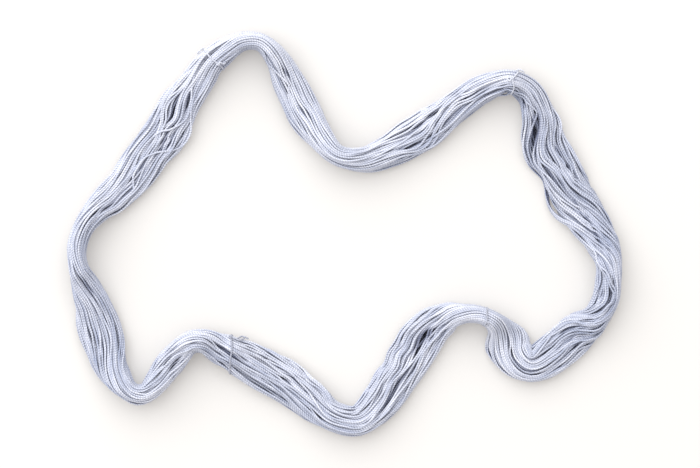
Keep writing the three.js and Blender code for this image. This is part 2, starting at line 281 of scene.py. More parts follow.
# %% Locks that ride on top
LOCK_COLUMNS = ("from_row", "to_row", "across", "strands", "rise")  # places across at even steps of the way
LOCK_GATHER = 0.75  # how far apart a lock's strands stay, as a share of how far apart they were
LOCK_FADE = 0.25  # share of its way over which a lock is led in, and out again
UNDERSIDE_OFF = 100  # mm added to how far off a strand of the underside counts, so that none is chosen
SKIN_DEPTH = 1.0  # from the ribbon's skin down to the middle of a strand on it
CURVE_STEPS = 20
LOCKS = (
    # upper left: the smooth outer lock, the inner one, and the slack strands of the eye between them
    (1.2, 5.6, (-0.78, -0.72, -0.45, -0.1, 0.05, 0.1, 0.1), 3, 0.7),
    (0.4, 5.6, (0.1, 0.2, 0.35, 0.5, 0.3, -0.2, -0.35, -0.3, -0.1, 0.0), 1, 0.9),
    (1.6, 6.0, (0.6, 0.75, 0.9, 0.8, 0.3, 0.0, 0.05, 0.2, 0.3), 1, 0.9),
    # left side
    (5.0, 7.4, (0.5, 0.7, 0.5), 3, 0.8),
    # lower left
    (19.6, 22.4, (-0.4, -0.8, -0.6), 4, 0.8),
    (25.0, 27.0, (0.7, 0.85, 0.7), 4, 0.8),
    # lower edge
    (30.6, 32.6, (0.3, 0.5, 0.4), 3, 0.8),
    # lower right
    (38.0, 41.5, (-0.3, -0.85, -0.85), 4, 0.8),
    (39.6, 42.2, (0.3, 0.6, 0.8, 0.6), 5, 0.8),
    # right end
    (42.6, 45.2, (-0.2, -0.7, -0.75, -0.3), 6, 1.4),
    (43.0, 45.8, (0.1, -0.2, -0.5, 0.3, 0.9, 0.95), 2, 1.4),
    # right side
    (47.3, 50.0, (-0.3, 0.1, 0.5), 4, 1.2),
    (49.6, 51.8, (0.75, 0.75, 0.4, 0.1, 0.05), 1, 0.9),
    # upper right
    (52.6, 54.4, (0.2, 0.5, 0.7), 2, 0.8),
    (55.2, 58.8, (-0.4, -0.3, 0.0, 0.5, 0.7, 0.6), 4, 0.6),
    (63.6, 65.6, (0.0, 0.1, 0.5, 0.85, 0.9), 1, 0.9),
)


def change_by_rows(change, points, columns, rows):
    for row in rows:
        points = change(points, **dict(zip(columns, row)))
    return points


def part_of(from_row, to_row):
    return np.clip(((place - from_row) % ROWS) / ((to_row - from_row) % ROWS), 0, 1)


# A Catmull-Rom curve passes through its points. An open one is led in and out straight.
def smooth_line(points, steps, closed=False):
    points = np.asarray(points, float)
    last = len(points) - 1
    before, after = 2 * points[0] - points[1], 2 * points[-1] - points[-2]
    around = points if closed else np.concatenate([[before], points, [after]])
    first = 0 if closed else 1
    line = []
    for i in range(first, first + (len(points) if closed else last)):
        a, b, c, d = (around[(i + step) % len(around)] for step in (-1, 0, 1, 2))
        t = (np.arange(steps) / steps).reshape(-1, *[1] * (points.ndim - 1))
        bend = a - 2.5 * b + 2 * c - d / 2
        twist = 1.5 * (b - c) + (d - a) / 2
        line.append(b + t * ((c - a) / 2 + t * (bend + t * twist)))
    return np.concatenate(line if closed else line + [points[-1:]])


def through(values, part):
    line = smooth_line(values, CURVE_STEPS)
    return np.interp(part, np.linspace(0, 1, len(line)), line)


def top_at(across):
    return mid_up + height / 2 * np.sqrt(np.clip(1 - (across / (width / 2)) ** 2, 0, 1))


def lead_lock(points, from_row, to_row, across, strands, rise):
    part = part_of(from_row, to_row)
    swell = smoothstep(part, 0, LOCK_FADE) * (1 - smoothstep(part, 1 - LOCK_FADE, 1))
    line = through(across, part) * width / 2
    off = (np.abs(points[:outer_turns, :, 0] - line) * swell).sum(1) / swell.sum()
    off += UNDERSIDE_OFF * (((points[:outer_turns, :, 1] - mid_up) * swell).sum(1) < 0)
    lock = np.argsort(off)[:strands]
    own = points[lock, :, 0] - points[lock, :, 0].mean(0)
    target = line + LOCK_GATHER * own
    points[lock, :, 0] += swell * (target - points[lock, :, 0])
    points[lock, :, 1] += swell * (top_at(target) - SKIN_DEPTH + rise - points[lock, :, 1])
    return points


turns = change_by_rows(lead_lock, turns, LOCK_COLUMNS, LOCKS)
print(len(LOCKS), "locks")

# %% [markdown]
# ## Openings
# Where two locks part, the eye looks down between them into the dark of the hank. A dark line painted on
# would stay flat, so the strands themselves are pushed apart, most at the skin and less further down.

# %% Openings
OPENING_COLUMNS = ("from_row", "to_row", "across", "half_width", "depth")  # places across as for the locks
OPENINGS = (
    # upper left
    (1.2, 2.0, (0.1, 0.22), 0.8, 5), (2.6, 3.05, (0.12, 0.0), 0.7, 5), (2.9, 3.5, (0.1, -0.1), 0.7, 5),
    (0.3, 2.3, (-0.62, -0.55), 0.5, 3), (2.7, 3.7, (0.5, 0.1), 0.8, 5), (3.0, 4.1, (0.6, 0.2), 0.8, 5),
    (3.3, 6.4, (0.0, 0.1, 0.25, 0.38, 0.45, 0.4), 1.0, 6), (4.4, 6.2, (0.2, 0.15, 0.15), 0.5, 4),
    # left side
    (6.1, 7.6, (0.4, 0.35, 0.15), 1.0, 6), (7.5, 9.0, (-0.2, -0.3, -0.1), 0.7, 4),
    (9.6, 13.0, (-0.35, -0.15, 0.2, 0.3, 0.35), 0.9, 6), (10.6, 13.6, (0.2, 0.45, 0.5, 0.6), 0.6, 4),
    (11.2, 14.2, (0.0, 0.05, 0.15, 0.2), 0.6, 4), (13.2, 14.8, (0.8, 0.75, 0.8), 0.8, 5),
    (14.6, 15.8, (0.9, 0.8), 0.7, 5), (13.1, 13.8, (-0.45, -0.45), 0.8, 4),
    # lower left
    (15.6, 18.0, (-0.1, -0.05, 0.15), 0.7, 4), (17.6, 19.8, (0.2, 0.2, 0.4), 0.7, 5),
    (19.2, 21.4, (0.45, 0.1, -0.1), 0.7, 4), (18.6, 20.2, (-0.35, -0.25, -0.4), 1.4, 8),
    (20.8, 24.2, (0.2, 0.15, 0.05, 0.0), 1.1, 7), (21.8, 24.2, (-0.25, -0.2, -0.3), 0.9, 6),
    (22.3, 23.4, (-0.75, -0.7), 0.7, 4),
    # lower edge
    (24.4, 25.1, (0.12, 0.15), 1.3, 8), (23.4, 26.3, (0.6, 0.4, 0.1), 1.0, 6),
    (22.8, 25.2, (-0.6, -0.65, -0.75), 1.2, 7), (23.4, 25.2, (-0.35, -0.4), 0.8, 5),
    (25.0, 27.0, (0.8, 0.7, 0.75), 0.8, 5), (25.0, 27.4, (-0.25, -0.4, -0.4), 0.8, 5),
    (27.2, 29.4, (-0.4, -0.45, -0.5), 0.8, 5), (28.6, 30.2, (0.45, 0.5), 0.8, 4),
    (29.0, 31.6, (-0.6, -0.35, -0.15, -0.3), 1.1, 7), (30.9, 31.7, (-0.4, -0.35), 0.8, 5),
    (31.4, 32.5, (-0.12, -0.1, -0.2), 2.4, 12), (32.3, 33.2, (-0.25, -0.35), 0.6, 4),
    (31.2, 32.2, (0.65, 0.5), 0.7, 4), (31.7, 33.2, (0.9, 0.75, 0.65), 0.7, 5),
    # lower right
    (37.2, 39.4, (0.15, 0.0, -0.1), 0.8, 5), (38.6, 41.0, (0.0, -0.35, -0.6, -0.6), 1.1, 7),
    (40.8, 42.8, (-0.6, -0.45, -0.4), 1.1, 7), (39.7, 42.4, (0.2, 0.3, 0.4, 0.6), 0.8, 6),
    (41.6, 43.4, (0.35, 0.3, 0.0), 1.0, 6), (41.8, 42.9, (0.1, -0.1), 0.7, 5),
    (41.2, 42.6, (-0.2, -0.25), 0.7, 4), (37.8, 38.9, (0.7, 0.6), 0.6, 4),
    # right end
    (43.5, 44.4, (0.45, 0.35), 1.2, 7), (44.3, 45.1, (0.6, 0.55), 1.2, 7),
    (43.7, 44.8, (-0.2, -0.35), 0.9, 6),
    (45.4, 47.4, (0.3, 0.1, -0.1), 0.8, 6), (45.0, 46.4, (-0.1, -0.35), 0.6, 4),
    # right side
    (46.2, 48.2, (0.4, 0.15, -0.1), 0.7, 4), (48.7, 49.1, (-0.35, -0.35), 1.5, 8),
    (48.1, 48.8, (-0.45, -0.6), 1.0, 6), (49.2, 50.3, (-0.3, -0.3), 0.9, 6),
    (49.4, 51.6, (0.8, 0.65, 0.42, 0.2, 0.1), 2.7, 13), (51.4, 53.0, (0.75, 0.82, 0.8), 1.3, 8),
    # upper right
    (53.5, 54.3, (0.9, 0.95), 1.0, 6), (54.3, 55.4, (0.0, 0.1), 0.7, 4), (55.2, 56.2, (-0.05, -0.15), 0.6, 4),
    (56.4, 57.3, (-0.42, -0.45), 1.4, 9), (57.1, 57.9, (-0.32, -0.38), 1.0, 7),
    (56.8, 58.0, (-0.05, 0.0), 0.7, 4), (57.3, 58.9, (0.35, 0.4, 0.25), 0.9, 6),
    (56.8, 58.2, (0.4, 0.65), 0.7, 5),
    # upper dip and limb
    (58.6, 60.6, (0.2, 0.25), 0.7, 4), (58.9, 61.0, (-0.35, -0.4), 0.6, 4), (59.2, 61.0, (0.7, 0.7), 0.6, 4),
    (62.0, 62.8, (0.6, 0.65), 0.7, 5), (62.6, 63.4, (0.1, 0.1, 0.3), 0.6, 4),
    (62.5, 63.1, (-0.1, -0.05), 0.6, 4),
    (63.2, 64.2, (-0.35, -0.28), 0.7, 4), (64.05, 64.8, (-0.2, -0.1, 0.0), 0.9, 7),
    (67.6, 69.3, (-0.45, -0.4, -0.5), 0.7, 4),
)
OPENING_EDGE = 0.8  # how far off its line the push of an opening comes near its full size
# How far off its line an opening still moves strands: so many half widths, and so many mm more
OPENING_REACH = 2.5
OPENING_REACH_MORE = 2.0
OPENING_SINK = 0.35  # share of its depth by which the strands under it sink


def open_up(points, from_row, to_row, across, half_width, depth):
    part = part_of(from_row, to_row)
    swell = np.sin(np.pi * part)
    line = through(across, part) * width / 2
    off = points[..., 0] - line
    below = np.clip(top_at(line) - points[..., 1], 0, None)
    near = np.exp(-((below / depth) ** 2)) * swell
    reach = OPENING_REACH * half_width + OPENING_REACH_MORE
    points[..., 0] += half_width * near * np.tanh(off / OPENING_EDGE) * np.exp(-((off / reach) ** 2))
    points[..., 1] -= OPENING_SINK * depth * near * np.exp(-((off / half_width) ** 2))
    return points


turns = change_by_rows(open_up, turns, OPENING_COLUMNS, OPENINGS)
print(len(OPENINGS), "openings")

# %% [markdown]
# ## Strands off the edges
# At an edge, some strands leave the others and come back after a few centimetres. They are moved as one
# group, by a soft swell that starts and ends at nothing, so that the yarn has no kink.

# %% Strands off the edges
STRAY_COLUMNS = ("from_row", "to_row", "across", "strands", "by", "up_by")  # by is mm to the inside
STRAYS = (
    (42.8, 45.4, 0.75, 8, 1.8, -3.5),
    (46.5, 48.8, 1.0, 3, 3.8, 0.0),
    (49.4, 51.6, 0.85, 2, 1.2, 0.0),
    (53.2, 54.6, 1.0, 1, 2.6, -1.0),
    (61.4, 63.4, 1.0, 1, 2.0, 0.0),
    (15.8, 17.3, -1.0, 2, -2.0, 0.0),
    (32.4, 33.5, -1.0, 1, -1.2, 0.0),
    (36.4, 39.0, -1.0, 5, -1.5, -4.0),
    (51.3, 53.2, 0.9, 6, -0.5, -5.0),
    (50.0, 51.2, -1.0, 1, -1.0, 0.0),
)


def stray(points, from_row, to_row, across, strands, by, up_by):
    part = part_of(from_row, to_row)
    swell = np.sin(np.pi * part) ** 2
    s = int(np.argmin(np.abs(place - (from_row + to_row) / 2)))
    loose = np.argsort(np.abs(points[:outer_turns, s, 0] - across * width[s] / 2))[:strands]
    points[loose, :, 0] += by * swell
    points[loose, :, 1] += up_by * swell
    return points


turns = change_by_rows(stray, turns, STRAY_COLUMNS, STRAYS)
print(len(STRAYS), "groups of strands off the edges")

# %% [markdown]
# ## Slack
# A turn that is longer than its neighbours has nowhere to go with its extra length, and lies in shallow
# waves. Each strand gets a wave with a start of its own, so the waves don't march in step.

# %% Slack
SLACK_COLUMNS = ("from_row", "to_row", "across_from", "across_to", "sway", "wave")  # sway and wave in mm
SLACKS = (
    (0.7, 4.4, -0.1, 0.5, -2.2, 48),
    (1.2, 3.6, -0.3, 0.5, 0.8, 26),
    (47.5, 51.5, -0.8, 0.9, 0.9, 45),
    (61.2, 64.8, -0.5, 0.9, 0.9, 40),
    (55.6, 58.6, -0.6, 0.9, 0.7, 45),
    (30.2, 33.2, -0.6, 0.9, 0.7, 50),
    (30.8, 32.0, 0.2, 0.8, 1.2, 22),
    (11.0, 15.0, -0.9, 0.9, 0.5, 50),
    (4.6, 7.4, -0.9, 0.9, 0.7, 45),
)
SLACK_EDGE = 0.4  # share of the half width over which slack fades out to either side
SLACK_START = 0.7  # radians by which two strands' waves may start apart


def slacken(points, from_row, to_row, across_from, across_to, sway, wave):
    swell = np.sin(np.pi * part_of(from_row, to_row)) ** 2
    share = points[..., 0] / (width / 2)
    inside = (smoothstep(share, across_from - SLACK_EDGE, across_from)
              * (1 - smoothstep(share, across_to, across_to + SLACK_EDGE)))
    way = distance - distance_to(from_row)
    phase = rng.uniform(0, SLACK_START, (len(points), 1)) + share
    points[..., 0] += sway * swell * inside * np.sin(2 * np.pi * way / wave + phase)
    return points


turns = change_by_rows(slacken, turns, SLACK_COLUMNS, SLACKS)
print(len(SLACKS), "slack stretches")

# %% [markdown]
# ## Settling
# Two strands can't be in one place. Strands that are too close push each other apart, a soft spring holds
# each one near its place, the floor pushes up, and the pushes are smoothed along each yarn. A rope
# simulation could do this too, but would take far longer than these forty short rounds.

# %% Settle the turns
RADIUS = YARN_DIAMETER / 2
TOUCH = 1.64  # between the middles of two strands that touch, less than a diameter because wool gives
ROUNDS = 40
PUSH = 0.6  # share of a push that one round carries out
SPRING = 0.96  # share of its way from home that a strand keeps in one round
SMOOTHING = 0.4


def smooth_along(moves, amount):
    for yarn in range(len(yarn_turns)):
        path = moves[owners == yarn]
        flat = path.reshape(-1, path.shape[-1])
        flat = flat + amount * ((np.roll(flat, 1, 0) + np.roll(flat, -1, 0)) / 2 - flat)
        moves[owners == yarn] = flat.reshape(path.shape)
    return moves


def push_apart(points, touch):
    by_station = points.transpose(1, 0, 2).astype(np.float32)
    away = by_station[:, :, None, :] - by_station[:, None, :, :]
    gap = np.sqrt((away ** 2).sum(3)) + 1e-4
    push = np.clip(touch - gap, 0, None) / gap
    index = np.arange(points.shape[0])
    push[:, index, index] = 0
    moved = 0.5 * (away * push[..., None]).sum(2)  # each of two strands makes half the way
    return points + PUSH * moved.transpose(1, 0, 2)


def settle(points, rounds):
    home = points.copy()
    for _ in range(rounds):
        points = push_apart(points, TOUCH)
        points = home + smooth_along(SPRING * (points - home), SMOOTHING)
        points[..., 1] = np.maximum(points[..., 1], RADIUS + lift)
    return points


settled = settle(turns, ROUNDS)
print("highest strand", settled[..., 1].max().round(1), "mm")

# %% [markdown]
# ## The meshes
# Each yarn becomes one tube mesh, eight-sided where it can show and six-sided inside. Its UV map holds the
# way along the yarn in mm and the share round it. Three more values on the points tell how deep a strand
# lies under the ribbon's skin, how far a point is turned away from the skin, and how pale the dye is. The
# first two drive painted shade, and the third the dye's tone together with some painted shade.

# %% Tubes from points
# A closed line joins its last ring of points to its first. An open one gets a cap at each end.
def tube(points, radius, sides, closed):
    count = len(points)
    if closed:
        ahead = np.roll(points, -1, 0) - np.roll(points, 1, 0)
    else:
        ahead = np.gradient(points, axis=0)
    ahead /= np.linalg.norm(ahead, axis=1)[:, None]
    side = np.cross([0.0, 0.0, 1.0], ahead)
    side /= np.linalg.norm(side, axis=1)[:, None].clip(1e-6)
    top = np.cross(ahead, side)
    turn = 2 * np.pi * np.arange(sides) / sides
    radius = np.broadcast_to(radius, count)[:, None, None]
    out = np.cos(turn)[:, None] * side[:, None] + np.sin(turn)[:, None] * top[:, None]
    rim = points[:, None] + radius * out
    i = np.arange(count if closed else count - 1)[:, None]
    k = np.arange(sides)[None, :]
    ring, after = (i + 1) % count, (k + 1) % sides
    quads = np.stack([i * sides + k, i * sides + after, ring * sides + after, ring * sides + k], 2)
    way = np.concatenate([[0.0], np.cumsum(np.linalg.norm(np.roll(points, -1, 0) - points, axis=1))])
    here, there = way[i + 0 * k], way[i + 1 + 0 * k]
    low, high = (k + 0 * i) / sides, (k + 1 + 0 * i) / sides
    u = np.stack([here, here, there, there], 2)
    v = np.stack([low, high, high, low], 2)
    quads, uv = quads.reshape(-1, 4), np.stack([u, v], 3).reshape(-1, 2)
    if not closed:
        fan = np.array([(0, k, k + 1, k + 2) for k in range(1, sides - 1, 2)])
        caps = np.concatenate([fan[:, ::-1], fan + (count - 1) * sides])
        quads = np.concatenate([quads, caps])
        uv = np.concatenate([uv, np.stack([way[caps.ravel() // sides], caps.ravel() % sides / sides], 1)])
    return rim.reshape(-1, 3), quads, uv


def joined(tubes):
    starts = np.cumsum([0] + [len(vertices) for vertices, _, _ in tubes[:-1]])
    return (np.concatenate([vertices for vertices, _, _ in tubes]),
            np.concatenate([quads + start for (_, quads, _), start in zip(tubes, starts)]),
            np.concatenate([uv for _, _, uv in tubes]))


def make_piece(name, body, shades, material):
    vertices, quads, uv = body
    mesh = bpy.data.meshes.new(name)
    mesh.vertices.add(len(vertices))
    mesh.vertices.foreach_set("co", (vertices * MM).astype(np.float32).ravel())
    mesh.loops.add(quads.size)
    mesh.loops.foreach_set("vertex_index", quads.astype(np.int32).ravel())
    mesh.polygons.add(len(quads))
    mesh.polygons.foreach_set("loop_start", np.arange(0, quads.size, 4, dtype=np.int32))
    layer = mesh.uv_layers.new(name="yarn")
    layer.data.foreach_set("uv", uv.astype(np.float32).ravel())
    # The first two values drive painted shade; the third the dye's tone and some painted shade
    for kind, values in zip(("inside", "turned_away", "dye_and_painted_shade"), shades):
        attribute = mesh.attributes.new(kind, "FLOAT", "POINT")
        attribute.data.foreach_set("value", np.broadcast_to(values, len(vertices)).astype(np.float32))
    mesh.update(calc_edges=True)
    mesh.validate()
    mesh.shade_smooth()
    mesh.materials.append(material)
    piece = bpy.data.objects.new(name, mesh)
    bpy.context.scene.collection.objects.link(piece)
    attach(piece, "root")
    print(name, len(quads) * 2, "triangles")
    return piece


def to_space(section_points):
    across, up = section_points[..., 0], section_points[..., 1]
    flat = middle + across[..., None] * inward
    return np.concatenate([flat, up[..., None]], -1)


# %% [markdown]
# ## Light between the strands, and the dye
# Wool inside a hank and between its strands looks darker and bluer, because light that gets in there meets
# dyed fibre again and again before it comes out. Smooth tubes don't trap light that way, so the depth and
# the turn away from the sky are kept on the points, and the material darkens by them. That darkening is
# painted shade, for light lost inside the hank and for sides turned from the sky.
#
# The wool was dyed as a hank in one bath, which dyers call semi-solid. Where a hank is folded or packed, it
# takes less or more dye, in soft patches that go across neighbouring strands, so their places belong to the
# course, not to the yarn. The table below makes the tone paler or deeper at places on the course. Its
# deeper patches at the inner edge (rows 9.5, 44.4, 52.8 and 66) are painted shade, where that edge lies in
# shadow, not dye.

# %% Three values on the points
DARKEST = 7.0  # mm under the skin
SKY = 0.4  # how much the light from straight above counts beside the light square to the skin
# Paler patches have an amount above zero, and deeper ones below it
PATCH_COLUMNS = ("row", "across", "amount")
# Rows 9.5, 44.4, 52.8 and 66.0 at the inner edge are painted shade, where that edge lies in shadow
PATCH_TABLE = (
    (9.5, 0.8, -0.15), (14.5, 0.8, -0.15), (14.0, -0.6, -0.1), (18.0, -0.8, 0.15), (21.5, -0.7, -0.1),
    (22.0, 0.6, 0.1), (26.0, -0.7, -0.1), (34.0, -0.3, 0.1), (38.0, -0.9, 0.1), (42.0, 0.2, -0.1),
    (43.0, -0.9, -0.1), (44.4, 0.9, -0.1), (46.5, 0.1, -0.1), (46.5, -0.9, -0.15), (50.0, -0.3, -0.1),
    (52.8, 0.95, -0.25), (54.0, 0.0, 0.1), (57.5, 0.8, -0.1), (58.0, -0.7, 0.15), (62.5, 0.3, 0.1),
    (65.5, 0.3, 0.15), (66.0, 0.9, -0.2), (68.5, -0.7, 0.2),
)
PATCHES = [dict(zip(PATCH_COLUMNS, row)) for row in PATCH_TABLE]
# How far a patch reaches: in rows, and as a share of the ribbon's half width
PATCH_ROWS = 2.2
PATCH_ACROSS = 0.6


def unit(vectors):
    return vectors / np.linalg.norm(vectors, axis=-1, keepdims=True).clip(1e-6)


# Painted shade from depth and from the turn away from the sky, and the tone of the dye and its patches
def painted_shade_and_dye(section_points, sides):
    across = section_points[..., 0] / (width / 2)
    up = (section_points[..., 1] - mid_up) / (height / 2)
    depth = (1 - np.sqrt(across ** 2 + up ** 2)) * np.minimum(width, height) / 2
    inside = np.clip((depth - RADIUS) / DARKEST, 0, 1)
    outward = unit(np.stack([across / width, up / height], -1))
    light = unit(outward + np.array([0.0, SKY]))
    turn = 2 * np.pi * np.arange(sides) / sides
    facing = light[..., :1] * np.cos(turn) + light[..., 1:] * np.sin(turn)
    dye_and_painted_shade = dye_and_painted_shade_at(across)
    return np.repeat(inside.ravel(), sides), (1 - facing.ravel()) / 2, np.repeat(dye_and_painted_shade.ravel(), sides)


# Tone of the patches: the dye, and painted shade at the inner edge
def dye_and_painted_shade_at(across):
    tone = np.zeros(across.shape)
    for patch in PATCHES:
        rows_off = (place - patch["row"] + ROWS / 2) % ROWS - ROWS / 2
        across_off = across - patch["across"]
        tone += patch["amount"] * np.exp(-((rows_off / PATCH_ROWS) ** 2) - (across_off / PATCH_ACROSS) ** 2)
    return tone


# %% [markdown]
# ## The wool
# The yarn is plied wool with a semi-solid dye. Wool fibres are covered in scales that scatter the light, so
# it looks matt and soft, with a faint sheen where the halo is seen edge on. It was spun and then plied, so
# short creases slant across each strand. The plies could be modelled, but that would take many more
# triangles for a thing of one or two pixels. A pattern on the UV map draws them instead: it tilts the
# light, and its creases get a little painted shade. Along the strand a noise varies the dye and how tight
# the twist is.

# %% Yarn material
PLIES = 1  # creases that one way round the strand passes
# mm from crease to crease, as two plies twisted six times to the inch give. Finer ones exist, but at the
# photo's scale of 0.83 mm a pixel they wouldn't show.
PLY_STEP = 2.1
# Painted shade in the creases between the plies
PLY_CREASE_PAINTED_SHADE = ((0.05, "#d3d6de"), (0.5, "#ffffff"))
DYE_RANGE = (0.2, 0.8)  # values that give the deep and the pale tone
# The dye changes about every 50 mm of yarn, with finer flecks in it, and the twist every 33 mm
MOTTLE = {"Scale": 0.02, "Detail": 5.0, "Roughness": 0.65}
TWIST = {"Scale": 0.03, "Detail": 2.0}
TWIST_RANGE = {"From Min": 0.35, "From Max": 0.65, "To Min": 0.4}  # where it is slack, plies stand out less
WOOL_SURFACE = {"Roughness": 0.8, "Sheen Weight": 0.15, "Sheen Roughness": 0.5}
MIX_A, MIX_B, MIX_RESULT = 6, 7, 2  # the Mix node's sockets for colours
# Painted shade: darker inside the hank, and on sides that are turned away from the sky
PAINTED_SHADE_RAMPS = {
    "inside": ((0.12, "#ffffff"), (0.4, "#b4b8c8"), (0.9, "#3a4056")),
    "turned_away": ((0.25, "#ffffff"), (0.5, "#bcc0cf"), (0.8, "#858ba0")),
}


def linear(hex_colour):
    values = [int(hex_colour[i:i + 2], 16) / 255 for i in (1, 3, 5)]
    return [v / 12.92 if v <= 0.04045 else ((v + 0.055) / 1.055) ** 2.4 for v in values] + [1.0]


def add_node(tree, kind, links=None, **settings):
    node = tree.nodes.new(kind)
    for name, value in settings.items():
        if hasattr(node, name):
            setattr(node, name, value)
        else:
            node.inputs[name.replace("_", " ")].default_value = value
    for socket, source in (links or {}).items():
        tree.links.new(source, node.inputs[socket])
    return node


def ramp(tree, factor, stops):
    node = add_node(tree, "ShaderNodeValToRGB", {"Fac": factor})
    elements = node.color_ramp.elements
    for _ in stops[2:]:
        elements.new(0.5)
    for element, (position, colour) in zip(elements, stops):
        element.position = position
        element.color = linear(colour)
    return node.outputs["Color"]


def sum_of(tree, a, scale_a, b):
    node = add_node(tree, "ShaderNodeMath", {0: a, 2: b}, operation="MULTIPLY_ADD")
    node.inputs[1].default_value = scale_a
    return node.outputs[0]


def times(tree, a, factor):
    node = add_node(tree, "ShaderNodeMath", {0: a}, operation="MULTIPLY")
    node.inputs[1].default_value = factor
    return node.outputs[0]


def multiplied(tree, a, b):
    node = add_node(tree, "ShaderNodeMix", data_type="RGBA", blend_type="MULTIPLY")
    node.inputs["Factor"].default_value = 1.0
    tree.links.new(a, node.inputs[MIX_A])
    tree.links.new(b, node.inputs[MIX_B])
    return node.outputs[MIX_RESULT]


# The dye's tone, darkened by the painted shade that the points carry
def dyed_with_painted_shade(tree, along, pale, deep):
    mottle = add_node(tree, "ShaderNodeTexNoise", {"W": along}, noise_dimensions="1D", **MOTTLE)
    patch = add_node(tree, "ShaderNodeAttribute", attribute_name="dye_and_painted_shade")
    tone = sum_of(tree, patch.outputs["Fac"], 1.0, mottle.outputs["Fac"])
    colour = ramp(tree, tone, tuple(zip(DYE_RANGE, (deep, pale))))
    for kind, stops in PAINTED_SHADE_RAMPS.items():
        attribute = add_node(tree, "ShaderNodeAttribute", attribute_name=kind)
        colour = multiplied(tree, colour, ramp(tree, attribute.outputs["Fac"], stops))
    return colour


def ply_pattern(tree, along, around):
    plies = sum_of(tree, along, 1 / PLY_STEP, times(tree, around, -PLIES))
    wave = add_node(tree, "ShaderNodeMath", {0: times(tree, plies, np.pi)}, operation="SINE")
    return add_node(tree, "ShaderNodeMath", {0: wave.outputs[0]}, operation="ABSOLUTE").outputs[0]


def ply_bump(tree, along, ply, depth):
    twist = add_node(tree, "ShaderNodeTexNoise", {"W": along}, noise_dimensions="1D", **TWIST)
    tightness = add_node(tree, "ShaderNodeMapRange", {"Value": twist.outputs["Fac"]})
    for socket, value in TWIST_RANGE.items():
        tightness.inputs[socket].default_value = value
    raised = add_node(tree, "ShaderNodeMath", {0: ply, 1: tightness.outputs["Result"]}, operation="MULTIPLY")
    bump = add_node(tree, "ShaderNodeBump", {"Height": raised.outputs[0]}, Strength=1.0)
    bump.inputs["Distance"].default_value = depth * MM
    return bump.outputs["Normal"]


def yarn_material(name, pale, deep, ply_depth):
    material = bpy.data.materials.new(name)
    material.use_nodes = True
    tree = material.node_tree
    shader = tree.nodes["Principled BSDF"]
    where = add_node(tree, "ShaderNodeUVMap", uv_map="yarn")
    on_yarn = add_node(tree, "ShaderNodeSeparateXYZ", {"Vector": where.outputs["UV"]})
    along, around = on_yarn.outputs["X"], on_yarn.outputs["Y"]
    ply = ply_pattern(tree, along, around)
    colour = multiplied(tree, dyed_with_painted_shade(tree, along, pale, deep), ramp(tree, ply, PLY_CREASE_PAINTED_SHADE))
    tree.links.new(colour, shader.inputs["Base Color"])
    tree.links.new(ply_bump(tree, along, ply, ply_depth), shader.inputs["Normal"])
    for socket, value in WOOL_SURFACE.items():
        shader.inputs[socket].default_value = value
    return material


# The ties are ends of the same yarn, pulled taut. That leaves them deeper in tone and smoother, with plies
# that hardly stand out.
wool = yarn_material("wool_fingering_semi_solid_dye", pale="#d3d6e1", deep="#929ab0", ply_depth=0.5)
tie_wool = yarn_material("wool_of_the_ties", pale="#ccd0dc", deep="#7c8090", ply_depth=0.25)

# %% [markdown]
# ## The turns as pieces
# Each yarn is a piece of its own. One mesh for all of them would look the same, but would have nearly
# 700,000 triangles.

# %% The turns as pieces
for yarn, sides in enumerate(yarn_sides):
    own = settled[owners == yarn]
    body = tube(to_space(own).reshape(-1, 3), RADIUS, sides, closed=True)
    piece = make_piece(f"turns_of_yarn_{yarn + 1}", body, painted_shade_and_dye(own, sides), wool)
    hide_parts("hank")

# %% [markdown]
# ## The halo
# Single fibres stand off wool like a mist. Each is a thin three-sided spike that leaves its strand
# slantwise and bends over. The outermost turns have them wherever they don't face the floor.

# %% Halo
FIBRES = 7500  # for each yarn of the outermost ring
FIBRE_RADIUS = 0.045
FIBRE_SIDES = 3
FIBRE_TAPER = (1.0, 0.8, 0.1)  # shares of its radius at the root, halfway and at the tip
FIBRE_LENGTHS = (1.5, 5.0)
FIBRE_RISES = (0.05, 0.35)  # share of its length by which a fibre's tip stands off
FIBRE_BEND = 0.65  # share of that rise that it reaches halfway
FIBRE_ROOT = 0.8  # share of the strand's radius, so that the root is inside it
FIBRE_LEAN = 0.9  # radians that roots are spread round the strand from where it faces outwards
FIBRE_SLANT = 0.45  # radians that fibres slant from the strand's own way
LOWEST_ROOT = -0.4  # share of the ribbon's half height, below which it faces the floor
# Values as on the strands: painted shade inside, painted shade turned away, and the dye's tone
HALO_SHADES = (0.0, 0.2, 0.1)  # how deep inside, how far turned away and how pale


